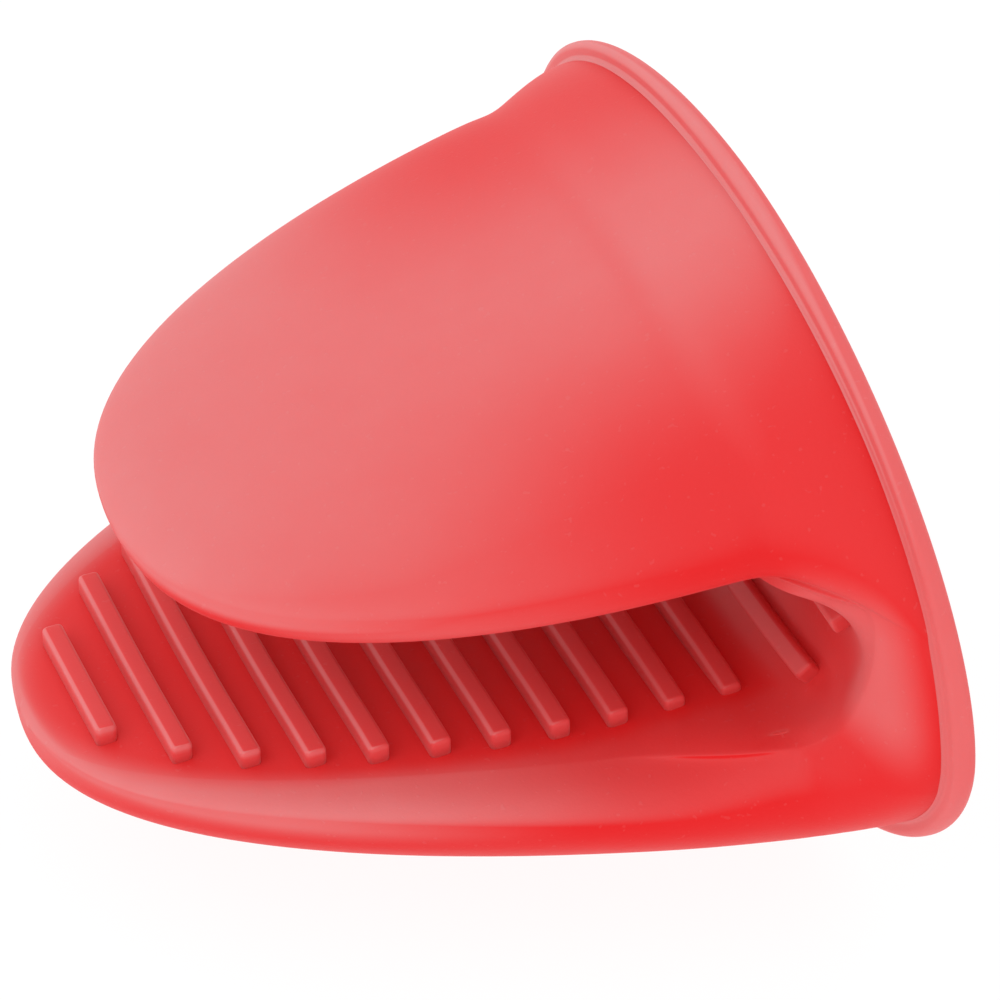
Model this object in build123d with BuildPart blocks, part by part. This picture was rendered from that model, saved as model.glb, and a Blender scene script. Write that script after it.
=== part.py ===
"""Pinch mitt: a short silicone oven mitt with a finger pocket above and a thumb pocket below.

The two pockets are joined at the back by an oval cuff with a flanged rim, and between them
by a curved web, which flexes as the mouth between the pockets opens and closes.
Millimetres. +X points out of the hand opening, +Y along the rim's long axis, +Z up.
The origin is under the middle of the mitt, at the level of its lowest point.
"""

import os
from math import asin, cos, radians, sin, sqrt

from build123d import *

# --- driving dimensions ---------------------------------------------------------------
LENGTH = 78.6  # from the rim's back face to the tip of the thumb side
FINGER_LENGTH = 68.4  # from the rim's back face to the tip of the finger side
RIM_WIDTH = 115.0  # outside the flange
RIM_HEIGHT = 64.4  # outside the flange
RIM_THICKNESS = 2.6
RIM_ROUNDING = 1.1
FLANGE = 2.9  # how far the rim stands out from the cuff
WALL = 2.2  # of the moulded silicone

CUFF_DEPTH = 12.0  # from the rim's back face to where the pockets begin
CUFF_FRONT_WIDTH = 96.0  # outside the cuff where it meets the pockets
CUFF_FRONT_HEIGHT = 55.6
CUFF_DROP = 1.1  # how much lower the cuff's middle is at its front
OVERRUN = 1.0  # how far a hollow runs past the wall that it opens

MOUTH_DEPTH = 7.5  # of the web's curve, in front to back
MOUTH_HEIGHT = 19.4  # between the palms at the web
MOUTH_MIDDLE = 32.9  # height of the web's middle
FLEX_BAND = 10.0  # height of the cheeks, the part of the cuff that flexes

RIB_WIDTH = 2.2
RIB_HEIGHT = 2.0
RIB_ROUNDING = 0.45
RIB_PITCH = 5.9
FIRST_THUMB_RIB = 72.5  # distance of the foremost rib from the rim's back face
THUMB_RIBS = 11
FIRST_FINGER_RIB = FIRST_THUMB_RIB - 2 * RIB_PITCH
FINGER_RIBS = 9
THUMB_RIB_OUTLINE = (29.0, 75.5)  # half length of the ribs near the rim, and where they vanish
FINGER_RIB_OUTLINE = (25.0, 65.5)
RIB_OUTLINE_EXPONENT = 2.4
WEB_RIB_ANGLES = (-52, 30)  # round the web's curve, from straight back
WEB_RIB_LENGTH = 64.0

SECTION_COUNT = 7  # cross-sections along a pocket
LAST_SECTION_ANGLE = 85.0  # how far round the tip's curve the last of them lies
SMALLEST_TIP = 1.2  # half width of the flat that closes a tip

rim_x = LENGTH / 2
rim_middle = RIM_HEIGHT / 2
cuff_front_x = rim_x - CUFF_DEPTH


class Pocket:
    """One pocket: its plan, its crowned back and its lens-shaped palm, which meet in a plane."""

    def __init__(self, length, half_width, plan, level, slope, crown, lip, palm, dish, facing):
        self.length = length
        self.half_width = half_width  # at the rim, before it tapers
        self.plan = plan  # the two exponents of its outline seen from above
        self.level = level  # height at the rim of the plane through its widest line
        self.slope = slope  # fall of that plane for each millimetre ahead
        self.crown = crown  # height of the back over that plane, two exponents and a taper
        self.lip = lip  # height of the palm's lens past that plane, and its exponent
        self.palm = palm  # height of the palm's middle past that plane
        self.dish = dish  # radius of the palm's hollow, across the mitt
        self.facing = facing  # +1 where the palm faces up, -1 where it faces down

    def form(self, start, towards_palm, hollow=False):
        """One side of the plane through the widest line, as a loft of half ovals."""
        wall = WALL if hollow else 0.0
        end = self.length - wall
        grow, close = self.plan
        crown, crown_grow, crown_close, taper = self.crown
        lip, lip_grow = self.lip
        if hollow:
            lip = self.palm - WALL
        side = self.facing if towards_palm else -self.facing
        first = asin(start / end)
        last = radians(LAST_SECTION_ANGLE)
        with BuildPart() as solid:
            for step in range(SECTION_COUNT):
                reach = sin(first + (last - first) * step / (SECTION_COUNT - 1))
                half_width = self.half_width * (1 - reach**grow) ** (1 / close) - wall
                if towards_palm:
                    height = lip * sqrt(1 - reach**lip_grow)
                else:
                    rounding = (1 - reach**crown_grow) ** (1 / crown_close)
                    height = crown * rounding * (1 - taper * reach) - wall
                half_width = max(half_width, SMALLEST_TIP)
                height = max(height, SMALLEST_TIP / 2)
                middle = self.level - self.slope * reach * end
                with BuildSketch(Plane.YZ.offset(rim_x - reach * end)):
                    with Locations((0, middle)):
                        Ellipse(half_width, height)
                    with Locations((0, middle + side * height)):
                        Rectangle(3 * half_width, 2 * height, mode=Mode.INTERSECT)
            loft()
        return solid.part

    def palm_plane(self, ahead):
        """The plane across the palm, its y up, through the middle of the dish."""
        height = self.level + self.facing * self.palm - self.slope * ahead
        return Plane(
            origin=(rim_x - ahead, 0, height),
            x_dir=(0, -1, 0),
            z_dir=(-1, 0, -self.slope),
        )


thumb = Pocket(
    length=LENGTH,
    half_width=50.2,
    plan=(1.12, 2.18),
    level=21.8,
    slope=0.05,
    crown=(20.0, 1.62, 2.66, 0.40),
    lip=(6.4, 5),
    palm=2.2,
    dish=181.0,
    facing=1,
)
finger = Pocket(
    length=FINGER_LENGTH,
    half_width=40.8,
    plan=(2.04, 2.39),
    level=49.5,
    slope=0.152,
    crown=(12.2, 1.58, 2.4, 0.35),
    lip=(8.0, 9),
    palm=5.2,
    dish=600.0,
    facing=-1,
)


def cuff_form(inset=0.0, overrun=0.0):
    """The cuff from the rim's back face forward to the pockets, as a loft of ovals."""
    half_width = RIM_WIDTH / 2 - FLANGE
    half_height = RIM_HEIGHT / 2 - FLANGE
    with BuildPart() as solid:
        for ahead, width, height, drop in (
            (-overrun, half_width, half_height, 0),
            (RIM_THICKNESS, half_width, half_height, 0),
            (CUFF_DEPTH + overrun, CUFF_FRONT_WIDTH / 2, CUFF_FRONT_HEIGHT / 2, CUFF_DROP),
        ):
            with BuildSketch(Plane.YZ.offset(rim_x - ahead)):
                with Locations((0, rim_middle - drop)):
                    Ellipse(width - inset, height - inset)
        loft(ruled=True)
    return solid.part


def mouth_form(margin=0.0):
    """What the mouth takes out at its root: a half oval, right across the mitt."""
    height = MOUTH_HEIGHT / 2 + margin
    with BuildPart() as solid:
        with BuildSketch(Plane.XZ):
            with Locations((cuff_front_x, MOUTH_MIDDLE)):
                Ellipse(MOUTH_DEPTH + margin, height)
            with Locations((cuff_front_x - CUFF_DEPTH, MOUTH_MIDDLE)):
                Rectangle(2 * CUFF_DEPTH, 2 * height)
        extrude(amount=RIM_WIDTH, both=True)
    return solid.part


def slab(bottom, top, side=0):
    """A wide slab between two heights, over both sides of the middle plane or over one."""
    with BuildPart() as solid:
        with BuildSketch(Plane.XY.offset(bottom)):
            with Locations((0, side * RIM_WIDTH)):
                Rectangle(3 * LENGTH, 2 * RIM_WIDTH)
        extrude(amount=top - bottom)
    return solid.part


def keep(name, part):
    """Label a finished piece and write its file."""
    part.label = name
    export_step(part, "parts/" + name + ".step")


os.makedirs("parts", exist_ok=True)

cuff_outside = cuff_form()
cuff_inside = cuff_form(inset=WALL, overrun=OVERRUN)
mouth = mouth_form()
flex_bottom = MOUTH_MIDDLE - FLEX_BAND / 2
flex_top = MOUTH_MIDDLE + FLEX_BAND / 2

with BuildPart() as cuff_wall:
    add(cuff_outside)
    add(cuff_inside, mode=Mode.SUBTRACT)
    add(mouth, mode=Mode.SUBTRACT)

with BuildPart() as rim_ring:
    with BuildSketch(Plane.YZ.offset(rim_x - RIM_THICKNESS)):
        with Locations((0, rim_middle)):
            Ellipse(RIM_WIDTH / 2, RIM_HEIGHT / 2)
            Ellipse(RIM_WIDTH / 2 - FLANGE, RIM_HEIGHT / 2 - FLANGE, mode=Mode.SUBTRACT)
    extrude(amount=RIM_THICKNESS)
    rim_edges = rim_ring.edges().sort_by(SortBy.LENGTH)[-2:]
    fillet(rim_edges, RIM_ROUNDING)

# --- cuff and rim: a lower and an upper half, each of one wall thickness ----------------
for side_name, bottom, top in (
    ("thumb", -RIM_THICKNESS, flex_bottom),
    ("finger", flex_top, RIM_HEIGHT + RIM_THICKNESS),
):
    share = slab(bottom, top)
    with BuildPart() as cuff_half:
        add(cuff_wall.part)
        add(share, mode=Mode.INTERSECT)
    keep(side_name + "_cuff", cuff_half.part)
    with BuildPart() as rim_half:
        add(rim_ring.part)
        add(share, mode=Mode.INTERSECT)
    keep(side_name + "_rim", rim_half.part)

# --- cheeks: the sides of the cuff and rim, which flex as the mouth works ----------------
for name, side in (("left_cheek", 1), ("right_cheek", -1)):
    share = slab(flex_bottom, flex_top, side)
    with BuildPart() as cheek:
        add(cuff_wall.part)
        add(rim_ring.part)
        add(share, mode=Mode.INTERSECT)
    keep(name, cheek.part)

# --- web: the curved wall at the root of the mouth ---------------------------------------
mouth_back = mouth_form(margin=WALL)
with BuildPart() as hinge_web:
    add(mouth_back)
    add(mouth, mode=Mode.SUBTRACT)
    split(bisect_by=Plane.YZ.offset(cuff_front_x), keep=Keep.TOP)
    add(cuff_inside, mode=Mode.INTERSECT)
keep("hinge_web", hinge_web.part)

# --- the two ribs on the web ---------------------------------------------------------------
for index, angle in enumerate(WEB_RIB_ANGLES):
    turn = radians(angle)
    foot = (
        cuff_front_x + MOUTH_DEPTH * cos(turn),
        MOUTH_MIDDLE + MOUTH_HEIGHT / 2 * sin(turn),
    )
    with BuildPart() as web_rib:
        with BuildSketch(Plane.XZ):
            with Locations(foot):
                Rectangle(2 * RIB_HEIGHT, RIB_WIDTH, rotation=angle)
        extrude(amount=WEB_RIB_LENGTH / 2, both=True)
        add(mouth, mode=Mode.INTERSECT)
    keep(f"web_rib_{index + 1}", web_rib.part)


# --- pockets: a crowned back and a dished palm, and the ribs across the palm ------------------
def rib(pocket, ahead, half_length):
    """A straight bar that stands on the palm, its underside and its top following the dish."""
    with BuildPart() as bar:
        with BuildSketch(pocket.palm_plane(ahead)):
            with Locations((0, pocket.facing * pocket.dish)):
                Circle(pocket.dish)
                Circle(pocket.dish - RIB_HEIGHT, mode=Mode.SUBTRACT)
            Rectangle(2 * half_length, RIM_HEIGHT, mode=Mode.INTERSECT)
        extrude(amount=RIB_WIDTH / 2, both=True)
        top_edges = bar.edges().filter_by(GeomType.CIRCLE).sort_by(SortBy.RADIUS)[:2]
        fillet(top_edges, RIB_ROUNDING)
    return bar.part


for name, pocket, first, count, (longest, vanish) in (
    ("thumb", thumb, FIRST_THUMB_RIB, THUMB_RIBS, THUMB_RIB_OUTLINE),
    ("finger", finger, FIRST_FINGER_RIB, FINGER_RIBS, FINGER_RIB_OUTLINE),
):
    with BuildPart() as dish:
        with BuildSketch(pocket.palm_plane(0)):
            with Locations((0, pocket.facing * pocket.dish)):
                Circle(pocket.dish)
        extrude(amount=LENGTH + CUFF_DEPTH)

    back_outside = pocket.form(CUFF_DEPTH, towards_palm=False)
    back_inside = pocket.form(CUFF_DEPTH - OVERRUN, towards_palm=False, hollow=True)
    with BuildPart() as back_shell:
        add(back_outside)
        add(back_inside, mode=Mode.SUBTRACT)
    keep(name + "_pocket", back_shell.part)

    palm_outside = pocket.form(CUFF_DEPTH, towards_palm=True)
    if pocket.palm > WALL:
        palm_inside = pocket.form(CUFF_DEPTH - OVERRUN, towards_palm=True, hollow=True)
    with BuildPart() as grip_face:
        add(palm_outside)
        if pocket.palm > WALL:
            add(palm_inside, mode=Mode.SUBTRACT)
        add(dish.part, mode=Mode.SUBTRACT)
    keep(name + "_grip_face", grip_face.part)

    for index in range(count):
        ahead = first - RIB_PITCH * index
        half_length = longest * sqrt(1 - (ahead / vanish) ** RIB_OUTLINE_EXPONENT)
        keep(f"{name}_rib_{index + 1:02d}", rib(pocket, ahead, half_length))
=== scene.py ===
from math import asin, atan2, cos, degrees, pi, radians, sin, sqrt

import bmesh
import bpy
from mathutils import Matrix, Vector


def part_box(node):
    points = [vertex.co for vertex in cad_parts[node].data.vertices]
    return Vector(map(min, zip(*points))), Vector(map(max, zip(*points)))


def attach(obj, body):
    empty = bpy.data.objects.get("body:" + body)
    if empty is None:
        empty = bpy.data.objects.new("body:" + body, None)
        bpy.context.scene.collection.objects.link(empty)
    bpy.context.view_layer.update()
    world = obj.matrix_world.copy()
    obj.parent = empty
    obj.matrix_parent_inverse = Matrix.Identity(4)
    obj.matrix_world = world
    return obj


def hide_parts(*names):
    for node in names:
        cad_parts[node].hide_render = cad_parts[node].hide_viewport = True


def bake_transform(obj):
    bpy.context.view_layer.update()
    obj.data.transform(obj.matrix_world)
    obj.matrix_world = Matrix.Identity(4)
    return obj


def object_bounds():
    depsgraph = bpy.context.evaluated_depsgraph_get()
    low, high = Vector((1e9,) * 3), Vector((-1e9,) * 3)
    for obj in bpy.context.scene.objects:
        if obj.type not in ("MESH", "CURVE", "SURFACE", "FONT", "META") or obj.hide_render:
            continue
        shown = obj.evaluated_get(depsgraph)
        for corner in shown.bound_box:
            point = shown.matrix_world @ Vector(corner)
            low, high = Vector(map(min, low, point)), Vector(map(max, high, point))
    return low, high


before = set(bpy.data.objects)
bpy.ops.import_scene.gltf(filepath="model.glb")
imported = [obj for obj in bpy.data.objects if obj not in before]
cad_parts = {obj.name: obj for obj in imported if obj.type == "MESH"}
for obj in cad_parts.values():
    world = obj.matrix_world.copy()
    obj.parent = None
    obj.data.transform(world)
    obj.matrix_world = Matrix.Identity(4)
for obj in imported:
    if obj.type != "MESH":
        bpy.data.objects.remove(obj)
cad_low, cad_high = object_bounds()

# ---------------------------------------------------------------------------------------
# Silicone skin. One moulding of heat-proof silicone rubber, a bit over 2 mm thick: an oval
# cuff that runs forward into a finger pocket above and a thumb pocket below, with a curved web.
# ---------------------------------------------------------------------------------------
# All of it is drawn in millimetres: ahead of the rim's back face, across, and up.
MM = 0.001
WALL = 2.2
RIM_THICKNESS = 2.0
FLANGE = 1.7  # how far the rim stands out from the cuff
TIP_ALLOWANCES = (0.3, 0.25)  # smoothing draws the thumb's and the finger's tip back this much
rim_back = cad_high.x / MM
thumb_length = rim_back - cad_low.x / MM + TIP_ALLOWANCES[0]
finger_length = rim_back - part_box("finger_pocket")[0].x / MM + TIP_ALLOWANCES[1]
rim_half_width = cad_high.y / MM - FLANGE
rim_half_height = (cad_high.z - cad_low.z) / 2 / MM - FLANGE
rim_level = (cad_high.z + cad_low.z) / 2 / MM

CUFF_DEPTH = 12.0  # from the rim's back face to where the pockets stand on their own
FRONT_HALF_WIDTH = (44.6, 52.0)  # of the cuff there: its upper part and its lower part
FRONT_RISE = 28.6  # its top over its middle, and its bottom under it
FRONT_DROP = 27.2
FRONT_LEVEL = 30.0  # height of its middle
RIM_SQUARENESS = (1.9, 1.78)  # exponents of the rim's oval, its upper and its lower half
FRONT_SQUARENESS = (3.2, 2.0)  # and of the cuff's front end; 2 is an ellipse
HALF = 24  # steps across a pocket, from one edge to the other
WEB_STEPS = 8  # steps down the web, from the finger palm to the thumb palm
WEB_REAR = 4.0  # the web's rearmost line, ahead of the rim's back face
CHEEK_UPPER = 21.0  # degrees round the cuff where the mouth's upper corner lies
CHEEK_LOWER = -10.0  # and its lower corner
CREST_UPPER = 6.0  # how far ahead the cheek's crest lies at the upper corner
CREST_FALL = 5.5  # and how much further ahead at the lower one
CREST_BEND = 2.4  # the higher, the later the crest turns ahead on its way down
CREST_INSET = (0.06, 0.14)  # how far the cheek rolls in above, and how much more below
CREST_FADE = 6  # steps past a mouth corner over which that roll fades
LIP_ROLL = radians(35)  # how far up its rolled edge a pocket's section starts


def smooth(t):
    """0 up to 0, 1 from 1 on, and an S-curve between."""
    t = min(max(t, 0.0), 1.0)
    return t * t * (3 - 2 * t)


def mix(a, b, t):
    """A share t of the way from a to b."""
    return a + (b - a) * t


def soft_lesser(a, b, reach):
    """The lesser of two heights, the crossing rounded off over the reach."""
    overlap = max(reach - abs(a - b), 0.0) / reach
    return min(a, b) - overlap * overlap * reach / 4


class Pocket:
    """The section of one pocket: a crowned back and a palm between two rolled lips."""

    def __init__(self, facing, merged, length, half_width, plan, level, crown, lip, palm, rise, roll):
        self.facing = facing  # +1 where the palm faces up, -1 where it faces down
        self.merged = merged  # ahead of here its section is its own all round
        self.length = length
        self.half_width = half_width
        self.plan = plan  # the two exponents of its outline seen from above
        self.level = level  # of its widest line: height at the rim, and fall per millimetre
        self.crown = crown  # of its back: height, its nose's two exponents, taper and fullness
        self.lip = lip  # of the palm side: height, the exponent ahead and the one across
        self.palm = palm  # of the palm's middle: height at the rim, and fall per millimetre
        self.rise = rise  # radius of the palm's dish
        self.roll = roll  # over which the lip rounds down into the palm

    def lining(self, wall):
        """The same pocket a wall's thickness smaller: the surface that the hand touches."""
        height, nose, *rest = self.crown
        lip, *lip_shape = self.lip
        middle, fall = self.palm
        return Pocket(
            facing=self.facing,
            merged=self.merged,
            length=self.length - wall,
            half_width=self.half_width - wall,
            plan=self.plan,
            level=self.level,
            crown=(height - wall, nose, *rest),
            lip=(lip - wall, *lip_shape),
            palm=(middle - self.facing * wall, fall),
            rise=self.rise,
            roll=self.roll,
        )

    def width(self, ahead):
        grow, close = self.plan
        return self.half_width * max(1 - min(ahead / self.length, 1.0) ** grow, 0.0) ** (1 / close)

    def palm_height(self, ahead, y):
        reach = min(ahead / self.length, 1.0)
        height, grow, spread = self.lip
        across = min(abs(y) / max(self.width(ahead), 0.01), 1.0)
        lens = height * sqrt(1 - reach**grow) * (1 - across**spread) ** (1 / spread)
        widest = self.widest(ahead)
        dish = self.facing * (self.dish_height(ahead, y) - widest)
        return widest + self.facing * soft_lesser(lens, dish, self.roll)

    def dish_height(self, ahead, y):
        """The palm's dish carried on straight across, without the lips."""
        middle, fall = self.palm
        return middle - fall * ahead + self.facing * y * y / (2 * self.rise)

    def widest(self, ahead):
        height, fall = self.level
        return height - fall * ahead

    def place(self, ahead, step):
        """A point round the section: steps 0 to HALF over the back, the rest across the palm."""
        full, grow, close, taper, fullness = self.crown
        reach = min(ahead / self.length, 1.0)
        width = self.width(ahead)
        if step <= HALF:
            turn = mix(-LIP_ROLL, pi + LIP_ROLL, step / HALF)
            y = -width * cos(turn)
        else:
            turn = -1.0
            y = -width * cos(LIP_ROLL) * cos(pi * step / HALF)
        if turn < 0 or turn > pi:
            return Vector((-ahead, y, self.palm_height(ahead, y)))
        y = -width * abs(cos(turn)) ** (2 / fullness) * (1 if turn < pi / 2 else -1)
        height = full * (1 - reach**grow) ** (1 / close) * (1 - taper * reach)
        return Vector((-ahead, y, self.widest(ahead) - self.facing * height * sin(turn) ** (2 / fullness)))


finger = Pocket(
    facing=-1,
    merged=17.0,
    length=finger_length,
    half_width=39.6,
    plan=(2.04, 2.39),
    level=(49.8, 0.154),
    crown=(11.8, 1.58, 2.4, 0.35, 2.15),
    lip=(7.5, 9, 2.0),
    palm=(44.6, 0.154),
    rise=600.0,
    roll=3.0,
)
thumb = Pocket(
    facing=1,
    merged=27.0,
    length=thumb_length,
    half_width=45.6,
    plan=(1.183, 2.298),
    level=(18.0, 0.0),
    crown=(14.33, 1.2, 3.82, 0.0, 2.0),
    lip=(6.8, 5, 2.2),
    palm=(21.9, 0.034),
    rise=190.0,
    roll=3.4,
)


def bent(value, power):
    """A signed power, which bends a circle to the cuff's oval and back."""
    return abs(value) ** power * (1 if value > 0 else -1)


def cuff_place(ahead, turn, inset=0.0, wall=0.0):
    """A point on the cuff's outside; turn 0 is the right side and 90 degrees the top."""
    share = ahead / CUFF_DEPTH
    upper_width, lower_width = FRONT_HALF_WIDTH
    front_width = mix(lower_width, upper_width, smooth((sin(turn) + 0.2) / 0.6))
    width = mix(rim_half_width, front_width, share) * (1 - inset) - wall
    height = mix(rim_half_height, FRONT_RISE if sin(turn) > 0 else FRONT_DROP, share) - wall
    level = mix(rim_level, FRONT_LEVEL, share)
    half = 0 if sin(turn) > 0 else 1
    power = 2 / mix(RIM_SQUARENESS[half], FRONT_SQUARENESS[half], min(share, 1.0))
    return Vector((-ahead, -width * bent(cos(turn), power), level + height * bent(sin(turn), power)))


def cuff_turn(place):
    """Where round the cuff a point at its front end lies, in degrees."""
    up = place.z - FRONT_LEVEL
    half = 0 if up > 0 else 1
    power = FRONT_SQUARENESS[half] / 2
    up = bent(up / (FRONT_RISE if up > 0 else FRONT_DROP), power)
    return degrees(atan2(up, bent(-place.y / FRONT_HALF_WIDTH[half], power))) % 360


def front_edge():
    """The cuff's front edge, once round: over the top, down one cheek, under, up the other."""
    least, more = CREST_INSET
    edge = []
    for pocket, start, end, crest, inset in (
        (finger, CHEEK_UPPER, 180 - CHEEK_UPPER, CREST_UPPER, least),
        (thumb, 180 - CHEEK_LOWER, 360 + CHEEK_LOWER, CREST_UPPER + CREST_FALL, least + more),
    ):
        for step in range(HALF + 1):
            corner = min(step, HALF - step) / CREST_FADE
            own = cuff_turn(pocket.place(CUFF_DEPTH, step if pocket is finger else HALF - step))
            turn = mix(start if step < HALF / 2 else end, own, smooth(corner))
            ahead = mix(crest, max(crest, CUFF_DEPTH), sin(pi * step / HALF))
            edge.append((turn, ahead, inset * smooth(1 - corner)))
        for step in range(1, WEB_STEPS):
            down = step / WEB_STEPS if pocket is finger else 1 - step / WEB_STEPS
            turn = mix(end, 180 - CHEEK_LOWER if pocket is finger else 360 + CHEEK_UPPER, step / WEB_STEPS)
            edge.append((turn, CREST_UPPER + CREST_FALL * down**CREST_BEND, least + more * down**2))
    return edge


front = front_edge()


def chain(bm, run):
    """The edges along a run of vertices."""
    return [bm.edges.get((a, b)) for a, b in zip(run, run[1:])]


def carry(bm, run, places):
    """Extrude a run of vertices by one step, and put the new run at the places given."""
    fresh = set(bmesh.ops.extrude_edge_only(bm, edges=chain(bm, run))["geom"])
    carried = []
    for vertex, place in zip(run, places):
        ends = [edge.other_vert(vertex) for edge in vertex.link_edges]
        new = next(end for end in ends if end in fresh)
        new.co = place
        carried.append(new)
    return carried


CHEEK_START = 0.80  # share of the half width where the web begins to roll out to the cheek
BACK_EDGE = 0.6  # the skin ends inside the rim, just short of its back face
CUFF_RINGS = (0.3, 0.55, 0.8, 1.0)  # shares of the way from the back edge to the front edge
ROOT_RINGS = (0.25, 0.5, 0.75, 1.0)  # and from there to where a pocket is its own all round
TIP_RINGS = 12
LAST_TURN = 88.6  # degrees round the tip's curve where the last ring lies


def web_place(upper_palm, lower_palm, column, row, crest, wall):
    """A point on the web, which is C-shaped from above to below and rolls over at each cheek."""
    across = -cos(pi * column / HALF)
    y = abs(crest.co.y) * across
    depth = CUFF_DEPTH - wall
    upper = upper_palm.dish_height(depth, y)
    lower = lower_palm.dish_height(depth, y)
    turn = pi * (0.5 - row / WEB_STEPS)
    ahead = depth - (CUFF_DEPTH - WEB_REAR) * cos(turn)
    z = (upper + lower) / 2 + (upper - lower) / 2 * sin(turn)
    cheek = smooth((abs(across) - CHEEK_START) / (1 - CHEEK_START))
    return Vector((mix(-ahead, crest.co.x, cheek), y, mix(z, crest.co.z, cheek)))


def grow_cuff(bm, wall, opening):
    """The cuff, from the back edge to the front edge; gives both as runs of vertices."""
    places = [cuff_place(BACK_EDGE, radians(turn), 0.0, wall) for turn, ahead, inset in front]
    if opening is None:
        circle = bmesh.ops.create_circle(bm, cap_ends=False, segments=len(front), radius=1)["verts"]
        for vertex, place in zip(circle, places):
            vertex.co = place
        opening = circle + [circle[0]]
        ring = opening
    else:
        ring = carry(bm, opening, places + places[:1])
    for share in CUFF_RINGS:
        places = [
            cuff_place(mix(BACK_EDGE, ahead - wall, share), radians(turn), inset * share**3, wall)
            for turn, ahead, inset in front
        ]
        ring = carry(bm, ring, places + places[:1])
    return opening, ring


def grow_web(bm, upper, lower, right_crest, left_crest, wall):
    """The web, column by column from the right cheek to the left one, where it is welded on."""
    columns = [right_crest]
    for column in range(1, HALF):
        places = [
            web_place(upper, lower, column, row, right_crest[row], wall)
            for row in range(WEB_STEPS + 1)
        ]
        columns.append(carry(bm, columns[-1], places))
    last = carry(bm, columns[-1], [vertex.co.copy() for vertex in left_crest])
    bmesh.ops.weld_verts(bm, targetmap=dict(zip(last, left_crest)))
    columns.append(left_crest)
    return columns


def grow_pocket(bm, pocket, root, marks, wall):
    """A pocket, from its root round the cuff's front and the web to its closed tip."""
    rests = [vertex.co.copy() for vertex in root]
    ring = root + [root[0]]
    for share in ROOT_RINGS:
        places = []
        for step, rest in enumerate(rests):
            ahead = mix(-rest.x, pocket.merged, share)
            kept = Vector((-ahead, rest.y, rest.z))
            if step <= HALF:
                turn, crest, inset = marks[step]
                kept = cuff_place(ahead, radians(turn), inset, wall)
            places.append(kept.lerp(pocket.place(ahead, step), smooth(share)))
        ring = carry(bm, ring, places + places[:1])
    first = asin(pocket.merged / pocket.length)
    for count in range(1, TIP_RINGS + 1):
        reach = sin(mix(first, radians(LAST_TURN), count / TIP_RINGS))
        places = [pocket.place(reach * pocket.length, step) for step in range(2 * HALF)]
        ring = carry(bm, ring, places + places[:1])
    over = ring[1:HALF]
    under = ring[HALF + 1 : 2 * HALF]
    bmesh.ops.bridge_loops(bm, edges=chain(bm, over) + chain(bm, under))
    for corner, a, b in ((ring[0], over[0], under[-1]), (ring[HALF], over[-1], under[0])):
        bmesh.ops.contextual_create(bm, geom=[corner, a, b])


def sheet_of_silicone(bm, wall, opening=None):
    """One face of the moulding: the outside, or the lining carried on from its back edge."""
    upper = finger.lining(wall)
    lower = thumb.lining(wall)
    opening, ring = grow_cuff(bm, wall, opening)
    finger_run = slice(0, HALF + 1)
    thumb_run = slice(HALF + WEB_STEPS, 2 * HALF + WEB_STEPS + 1)
    left_crest = ring[HALF : HALF + WEB_STEPS + 1]
    right_crest = ring[2 * HALF + WEB_STEPS :][::-1]
    columns = grow_web(bm, upper, lower, right_crest, left_crest, wall)
    for pocket, back, marks, row in (
        (upper, ring[finger_run], front[finger_run], 0),
        (lower, ring[thumb_run][::-1], front[thumb_run][::-1], WEB_STEPS),
    ):
        palm = [columns[2 * HALF - step][row] for step in range(HALF + 1, 2 * HALF)]
        grow_pocket(bm, pocket, back + palm, marks, wall)
    return opening


skin = bmesh.new()
back_edge = sheet_of_silicone(skin, 0.0)
sheet_of_silicone(skin, WALL, back_edge)


def place_in_frame(bm):
    """Millimetres ahead of the rim's back face become metres in the part's own frame."""
    bmesh.ops.translate(bm, vec=(rim_back, 0, 0), verts=bm.verts)
    bmesh.ops.scale(bm, vec=(MM, MM, MM), verts=bm.verts)


def settle(name, bm, levels=0):
    """Finish a piece: normals outward, and a smooth surface or crisp narrow edges."""
    bmesh.ops.recalc_face_normals(bm, faces=bm.faces)
    place_in_frame(bm)
    mesh = bpy.data.meshes.new(name)
    bm.to_mesh(mesh)
    bm.free()
    piece = bpy.data.objects.new(name, mesh)
    bpy.context.scene.collection.objects.link(piece)
    if levels:
        surface = piece.modifiers.new("Smooth surface", "SUBSURF")
        surface.levels = levels
        surface.render_levels = levels
        bpy.context.view_layer.update()
        graph = bpy.context.evaluated_depsgraph_get()
        finished = bpy.data.meshes.new_from_object(piece.evaluated_get(graph))
        piece.modifiers.clear()
        piece.data = finished
        bpy.data.meshes.remove(mesh)
        finished.name = name
    else:
        piece.modifiers.new("Crisp edges", "WEIGHTED_NORMAL").weight = 80
    for polygon in piece.data.polygons:
        polygon.use_smooth = True
    return piece


class Wire:
    """A shader socket that can be used in sums, so that a pattern reads as arithmetic."""

    def __init__(self, tree, socket):
        self.tree = tree
        self.socket = socket

    def maths(self, operation, *values):
        node = self.tree.nodes.new("ShaderNodeMath")
        node.operation = operation
        for entry, value in zip(node.inputs, (self, *values)):
            self.tree.feed(entry, value)
        return Wire(self.tree, node.outputs[0])

    def __add__(self, other):
        return self.maths("ADD", other)

    def __mul__(self, other):
        return self.maths("MULTIPLY", other)

    def __sub__(self, other):
        return self.maths("SUBTRACT", other)

    def __rsub__(self, other):
        return (self * -1).maths("ADD", other)

    def between(self, low, high):
        """0 below low, 1 above high, and a smooth step from one to the other."""
        settings = {"interpolation_type": "SMOOTHSTEP"}
        node = self.tree.add("ShaderNodeMapRange", settings, {0: self, 1: low, 2: high})
        return Wire(self.tree, node.outputs[0])

    __radd__ = __add__
    __rmul__ = __mul__


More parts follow.
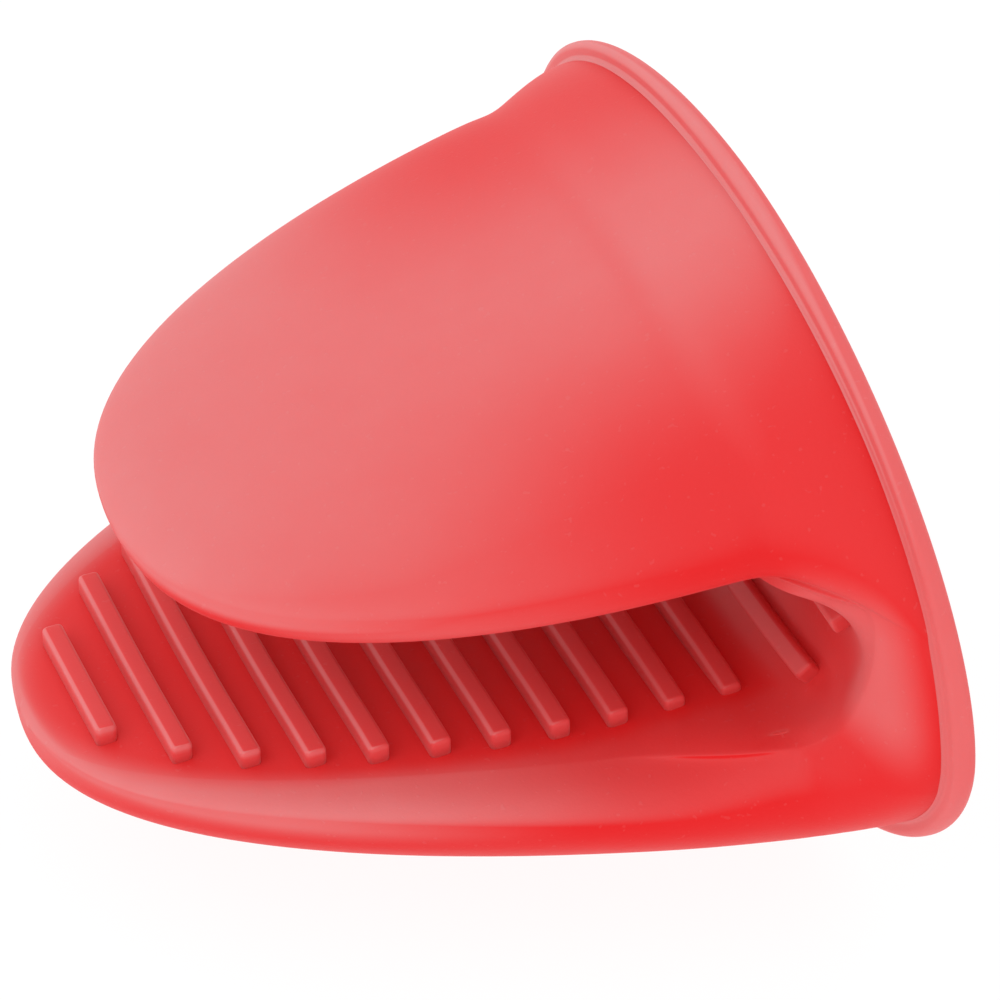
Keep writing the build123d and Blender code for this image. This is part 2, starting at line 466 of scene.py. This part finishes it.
class Tree:
    """The nodes of one material."""

    def __init__(self, name):
        self.material = bpy.data.materials.new(name)
        self.material.use_nodes = True
        self.nodes = self.material.node_tree.nodes
        self.links = self.material.node_tree.links
        self.shader = self.nodes["Principled BSDF"]

    def feed(self, entry, value):
        if isinstance(value, Wire):
            self.links.new(value.socket, entry)
        elif hasattr(value, "is_output"):
            self.links.new(value, entry)
        else:
            entry.default_value = value

    def add(self, kind, settings=(), inputs=()):
        node = self.nodes.new(kind)
        for name, value in dict(settings).items():
            setattr(node, name, value)
        for key, value in dict(inputs).items():
            self.feed(node.inputs[key], value)
        return node

    def noise(self, where, scale, detail=2.0, roughness=0.5):
        inputs = {"Vector": where, "Scale": scale, "Detail": detail, "Roughness": roughness}
        return Wire(self, self.add("ShaderNodeTexNoise", inputs=inputs).outputs[0])

    def blend(self, factor, first, second):
        """A colour between two others."""
        node = self.add("ShaderNodeMix", {"data_type": "RGBA"}, {0: factor, 6: first, 7: second})
        return node.outputs[2]


PALM_LENGTH = 0.0755  # metres, of the ribbed floor of the lower palm
PALM_HALF_WIDTH = 0.029


def silicone(name, deep, highlight_red, highlight_most, cuff_side_shade, highlight_floor):
    """Matt moulded silicone: a saturated red, with a pale painted highlight on the surfaces that face the
    light, and pale specks.
    """
    tree = Tree(name)
    where = tree.add("ShaderNodeTexCoord").outputs["Object"]
    facing = tree.add("ShaderNodeNewGeometry").outputs["Normal"]
    parts = tree.add("ShaderNodeSeparateXYZ", inputs={0: facing})
    towards_x, towards_y, towards_z = [Wire(tree, output) for output in parts.outputs]
    broad = tree.noise(where, 28.0, 3.0, 0.55)
    patchy = tree.noise(where, 140.0, 4.0, 0.6)
    fine = tree.noise(where, 2600.0, 3.0, 0.65)
    specks = tree.noise(where, 1500.0, 1.0, 0.4).between(0.69, 0.76)
    place = tree.add("ShaderNodeSeparateXYZ", inputs={0: where})
    along, across, height = [Wire(tree, output) for output in place.outputs]
    sideways = towards_y.maths("ABSOLUTE")

    # Painted highlight on the crowned back and on the rolled lips below it: paler where the surface faces up
    # and forward, towards the light.
    back_highlight = (towards_z * 0.66 - towards_x * 0.70 + towards_y * 0.25).between(0.50, 0.96)
    roll_highlight = (towards_z * 0.85 - towards_x * 0.45 + sideways * 0.35).between(0.76, 1.0)
    roll_highlight = roll_highlight * (1 - height.between(0.038, 0.046) * 0.5)
    # Painted shade: the lower palm's floor, inside the lip that runs round the ribs' ends, gets less of the
    # painted highlight.
    lengthways = (rim_back * MM - along) * (1 / PALM_LENGTH)
    breadthways = across * (1 / PALM_HALF_WIDTH)
    lip = (lengthways.maths("POWER", 2.4) + breadthways * breadthways).between(1.0, 1.2)
    shaded_palm_floor = towards_z.between(0.86, 0.97) * (1 - height.between(0.028, 0.034)) * (1 - lip)
    # Painted shade: the sides of the cuff get less of the painted highlight.
    shaded_cuff_sides = across.maths("ABSOLUTE").between(0.0, 0.032) * along.between(-0.012, 0.020)
    highlight_mask = back_highlight.maths("MAXIMUM", roll_highlight) * (1 - shaded_palm_floor * 0.75) * (1 - shaded_cuff_sides * cuff_side_shade)
    # More painted highlight on the rolled cheeks, the finger pocket's flanks and the thumb pocket's nose,
    # where they face the light.
    cheek = height.between(0.027, 0.035) * (1 - height.between(0.041, 0.050))
    cheek = cheek * along.between(0.024, 0.030) * (1 - along.between(0.033, 0.037))
    cheek = cheek * (0 - towards_x).between(0.25, 0.75) * 0.6
    flank_highlight = sideways.between(0.55, 0.95) * height.between(0.032, 0.039) * (1 - shaded_cuff_sides) * 0.4
    nose = (1 - along.between(-0.024, 0.008)) * towards_z.between(-0.4, 0.2) * (1 - shaded_palm_floor) * 0.72
    for patch in (cheek, flank_highlight, nose, highlight_floor):
        highlight_mask = highlight_mask.maths("MAXIMUM", patch)
    # The painted highlight, its strength varied at random, plus pale specks that the silicone has all over.
    highlight_and_specks = highlight_mask * (0.76 + broad * 0.26 + patchy * 0.18) * highlight_most + specks * 0.10
    tree.feed(tree.shader.inputs["Base Color"], tree.blend(highlight_and_specks, deep, highlight_red))
    tree.feed(tree.shader.inputs["Roughness"], 0.47 + patchy * 0.10 + fine * 0.10 + specks * 0.1)
    grain = tree.add(
        "ShaderNodeBump",
        inputs={"Strength": 0.22, "Distance": 0.00012, "Height": fine * 0.7 + patchy * 0.5 + specks * 0.6},
    )
    tree.feed(tree.shader.inputs["Normal"], grain.outputs[0])
    for socket, value in (
        ("Specular IOR Level", 0.32),
        ("IOR", 1.42),
        ("Subsurface Weight", 0.15),
        ("Subsurface Radius", (1.0, 0.12, 0.10)),
        ("Subsurface Scale", 0.003),
        ("Sheen Weight", 0.10),
        ("Sheen Roughness", 0.45),
        ("Sheen Tint", (1.0, 0.75, 0.75, 1.0)),
    ):
        tree.shader.inputs[socket].default_value = value
    return tree.material


# The silicone's own red, and the paler red painted where the light falls on it.
DEEP_RED = (0.80, 0.008, 0.010, 1)
PAINTED_HIGHLIGHT_RED = (0.79, 0.212, 0.214, 1)
moulded_red = silicone("Matt red silicone", DEEP_RED, PAINTED_HIGHLIGHT_RED, 0.95, cuff_side_shade=0.8, highlight_floor=0.0)

mitt_skin = settle("mitt_skin", skin, levels=2)
mitt_skin.data.materials.append(moulded_red)
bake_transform(mitt_skin)
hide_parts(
    "thumb_cuff",
    "finger_cuff",
    "left_cheek",
    "right_cheek",
    "hinge_web",
    "thumb_pocket",
    "finger_pocket",
    "thumb_grip_face",
    "finger_grip_face",
)

# ---------------------------------------------------------------------------------------
# Rim. The flange that the mould's parting line leaves round the hand opening: the same
# silicone, flat behind, rounded on its outer edge and faired into the cuff in front.
# ---------------------------------------------------------------------------------------
RIM_ROUNDING = 0.85
RIM_FAIRING = 0.35  # radius between the rim's front and the cuff
INNER_ROUNDING = 0.6  # where the hand goes in
RIM_STEPS = 128
ARC_STEPS = 5


def rim_profile():
    """Round the rim's section: how far outside the cuff's surface, and how far ahead."""
    corner = 0.3 * INNER_ROUNDING
    points = [(-WALL, RIM_FAIRING * 2), (-WALL, INNER_ROUNDING), (-WALL + corner, corner)]
    points += [(-WALL + INNER_ROUNDING, 0.0), (0.0, 0.0)]
    outer = FLANGE - RIM_ROUNDING
    for step in range(ARC_STEPS + 1):
        turn = pi / 2 * step / ARC_STEPS
        points.append((outer + RIM_ROUNDING * sin(turn), RIM_ROUNDING * (1 - cos(turn))))
    front_edge = RIM_THICKNESS - RIM_ROUNDING
    for step in range(1, ARC_STEPS + 1):
        turn = pi / 2 * step / ARC_STEPS
        points.append((outer + RIM_ROUNDING * cos(turn), front_edge + RIM_ROUNDING * sin(turn)))
    for step in range(ARC_STEPS + 1):
        turn = pi / 2 * step / ARC_STEPS
        points.append((RIM_FAIRING * (1 - sin(turn)), RIM_THICKNESS + RIM_FAIRING * (1 - cos(turn))))
    points.append((-0.5, RIM_THICKNESS + RIM_FAIRING + 0.5))
    return points


def rim_place(outward, ahead, turn):
    """A point that stands a given way out of the cuff's surface, square to its outline."""
    base = cuff_place(ahead, turn)
    normal = Vector((0, -cos(turn) * rim_half_height, sin(turn) * rim_half_width)).normalized()
    return base + normal * outward


rim = bmesh.new()
first_ring = bmesh.ops.create_circle(rim, cap_ends=False, segments=RIM_STEPS, radius=1)["verts"]
turns = [2 * pi * step / RIM_STEPS for step in range(RIM_STEPS)]
profile = rim_profile()
for vertex, turn in zip(first_ring, turns):
    vertex.co = rim_place(*profile[0], turn)
ring = first_ring + [first_ring[0]]
for outward, ahead in profile[1:] + profile[:1]:
    places = [rim_place(outward, ahead, turn) for turn in turns]
    ring = carry(rim, ring, places + places[:1])
bmesh.ops.weld_verts(rim, targetmap=dict(zip(ring[:-1], first_ring)))

rim_piece = settle("rim", rim, levels=1)
# The rim gets a share of the pale painted-highlight red all over, besides the painted highlight where it
# faces the light.
rim_red = silicone("Matt red silicone rim", DEEP_RED, PAINTED_HIGHLIGHT_RED, 1.0, cuff_side_shade=0.0, highlight_floor=0.6)
rim_piece.data.materials.append(rim_red)
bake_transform(rim_piece)
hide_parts("thumb_rim", "finger_rim")

# ---------------------------------------------------------------------------------------
# Grip ribs. Straight square-ended bars moulded on both palms, a little over 2 mm wide and
# 2 mm tall, which follow the palm's dish; the foremost ones are the shortest.
# ---------------------------------------------------------------------------------------
RIB_WIDTH = 2.2
RIB_HEIGHT = 2.0
RIB_FOOT = 0.9  # how deep a rib reaches under the palm's surface
RIB_EDGE = 0.55
RIB_SLICES = 14
# The ribs get a share of the pale painted-highlight red all over, besides the painted highlight where they
# face the light.
rib_red = silicone("Matt red silicone ribs", DEEP_RED, PAINTED_HIGHLIGHT_RED, 0.9, cuff_side_shade=0.4, highlight_floor=0.34)


def palm_rib(name, pocket, ahead, half_length):
    """A bar across one palm, its top a constant height over the dish."""
    bm = bmesh.new()
    bmesh.ops.create_cube(bm, size=1.0)
    bmesh.ops.scale(bm, vec=(RIB_WIDTH, 2 * half_length, RIB_HEIGHT + RIB_FOOT), verts=bm.verts)
    long_edges = [e for e in bm.edges if abs(e.verts[0].co.y - e.verts[1].co.y) > half_length]
    bmesh.ops.subdivide_edges(bm, edges=long_edges, cuts=RIB_SLICES, use_grid_fill=True)
    top = [e for e in bm.edges if min(v.co.z for v in e.verts) > 0 and len(e.link_faces) == 2]
    rims = [e for e in top if e.calc_face_angle(0) > 1]
    rims += [e for e in bm.edges if abs(e.verts[0].co.z - e.verts[1].co.z) > 0.5 and e.calc_face_angle(0) > 1]
    bmesh.ops.bevel(
        bm, geom=rims, affect="EDGES", offset=RIB_EDGE, segments=3, profile=0.5, material=-1
    )
    for vertex in bm.verts:
        level = vertex.co.z + (RIB_HEIGHT - RIB_FOOT) / 2
        y = vertex.co.y
        distance = ahead - vertex.co.x
        palm = pocket.palm_height(ahead, y) - pocket.palm[1] * (distance - ahead)
        vertex.co = Vector((-distance, y, palm + pocket.facing * level))
    return settle(name, bm)


for name, pocket, count in (("thumb", thumb, 11), ("finger", finger, 9)):
    for index in range(count):
        node = f"{name}_rib_{index + 1:02d}"
        low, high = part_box(node)
        ahead = rim_back - (low.x + high.x) / 2 / MM
        piece = palm_rib(f"{name}_bar_{index + 1:02d}", pocket, ahead, high.y / MM)
        piece.data.materials.append(rib_red)
        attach(piece, name + "_side")
        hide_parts(node)

# ---------------------------------------------------------------------------------------
# Web ribs. Two more bars of the same section, moulded across the web at the mouth's root.
# ---------------------------------------------------------------------------------------
WEB_BARS = ((0.76, 1.0), (0.36, 5.0))  # how far down the web each lies, and its longer ends
for index, (row_share, longer) in enumerate(WEB_BARS):
    name = f"web_rib_{index + 1}"
    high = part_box(name)[1]
    bm = bmesh.new()
    bmesh.ops.create_cube(bm, size=1.0)
    half_length = high.y / MM + longer
    bmesh.ops.scale(bm, vec=(RIB_HEIGHT + RIB_FOOT, 2 * half_length, RIB_WIDTH), verts=bm.verts)
    long_edges = [e for e in bm.edges if abs(e.verts[0].co.y - e.verts[1].co.y) > half_length]
    bmesh.ops.subdivide_edges(bm, edges=long_edges, cuts=RIB_SLICES, use_grid_fill=True)
    rims = [e for e in bm.edges if e.calc_face_angle(0) > 1]
    bmesh.ops.bevel(
        bm, geom=rims, affect="EDGES", offset=RIB_EDGE, segments=3, profile=0.5, material=-1
    )
    turn = pi * (0.5 - row_share)
    for vertex in bm.verts:
        y = vertex.co.y
        upper = finger.dish_height(CUFF_DEPTH, y)
        lower = thumb.dish_height(CUFF_DEPTH, y)
        ahead = CUFF_DEPTH - (CUFF_DEPTH - WEB_REAR) * cos(turn)
        z = (upper + lower) / 2 + (upper - lower) / 2 * sin(turn)
        out = vertex.co.x + (RIB_HEIGHT - RIB_FOOT) / 2
        along = vertex.co.z
        inward = Vector((-cos(turn), 0, -sin(turn)))
        beside = Vector((-sin(turn), 0, cos(turn)))
        vertex.co = Vector((-ahead, y, z)) + inward * out + beside * along
    piece = settle(f"web_bar_{index + 1}", bm)
    piece.data.materials.append(rib_red)
    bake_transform(piece)
    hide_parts(name)

# ---------------------------------------------------------------------------------------
# Studio. A white table top, a broad soft light from the upper left, and the camera.
# ---------------------------------------------------------------------------------------
TABLE_SIZE = 6.0
TABLE_CLEARANCE = 0.0004
table_mesh = bmesh.new()
bmesh.ops.create_grid(table_mesh, x_segments=1, y_segments=1, size=TABLE_SIZE / 2)
bmesh.ops.translate(table_mesh, vec=(0, 0, cad_low.z - TABLE_CLEARANCE), verts=table_mesh.verts)
table_top = bpy.data.meshes.new("table_top")
table_mesh.to_mesh(table_top)
table_mesh.free()
table = bpy.data.objects.new("table_top", table_top)
bpy.context.scene.collection.objects.link(table)
table_paint = Tree("White table")
table_paint.shader.inputs["Base Color"].default_value = (0.10, 0.10, 0.10, 1)
table_paint.shader.inputs["Roughness"].default_value = 0.9
table_paint.shader.inputs["Specular IOR Level"].default_value = 0.0
table_paint.shader.inputs["Emission Color"].default_value = (1, 1, 1, 1)
table_paint.shader.inputs["Emission Strength"].default_value = 0.93
table.data.materials.append(table_paint.material)

world = bpy.data.worlds.new("Studio")
bpy.context.scene.world = world
world.use_nodes = True
world.node_tree.nodes["Background"].inputs[0].default_value = (1, 1, 1, 1)
world.node_tree.nodes["Background"].inputs[1].default_value = 0.97

middle = (cad_low + cad_high) / 2


def soft_light(name, azimuth, elevation, distance, size, power):
    """A square soft box that looks at the middle of the mitt."""
    lamp = bpy.data.lights.new(name, "AREA")
    lamp.shape = "DISK"
    lamp.size = size
    lamp.energy = power
    body = bpy.data.objects.new(name, lamp)
    bpy.context.scene.collection.objects.link(body)
    turn, rise = radians(azimuth), radians(elevation)
    back = Vector((sin(turn) * cos(rise), -cos(turn) * cos(rise), sin(rise)))
    body.location = middle + back * distance
    body.rotation_euler = back.to_track_quat("Z", "Y").to_euler()
    return body


soft_light("Key", -75, 42, 0.9, 0.7, 0.9)

CAMERA_AZIMUTH = -21.22
CAMERA_ELEVATION = 38.385
CAMERA_DISTANCE = 0.7645
turn, rise = radians(CAMERA_AZIMUTH), radians(CAMERA_ELEVATION)
back = Vector((sin(turn) * cos(rise), -cos(turn) * cos(rise), sin(rise)))
aim = middle + Vector((0.0119, 0.0, -0.0013))
lens = bpy.data.cameras.new("Camera")
lens.sensor_width = 36.0
lens.lens = 271.9
lens.clip_start = 0.05
lens.clip_end = 20.0
camera = bpy.data.objects.new("Camera", lens)
bpy.context.scene.collection.objects.link(camera)
camera.location = aim + back * CAMERA_DISTANCE
camera.rotation_euler = back.to_track_quat("Z", "Y").to_euler()
bpy.context.scene.camera = camera
bpy.context.scene.view_settings.view_transform = "Standard"
bpy.context.scene.view_settings.look = "None"
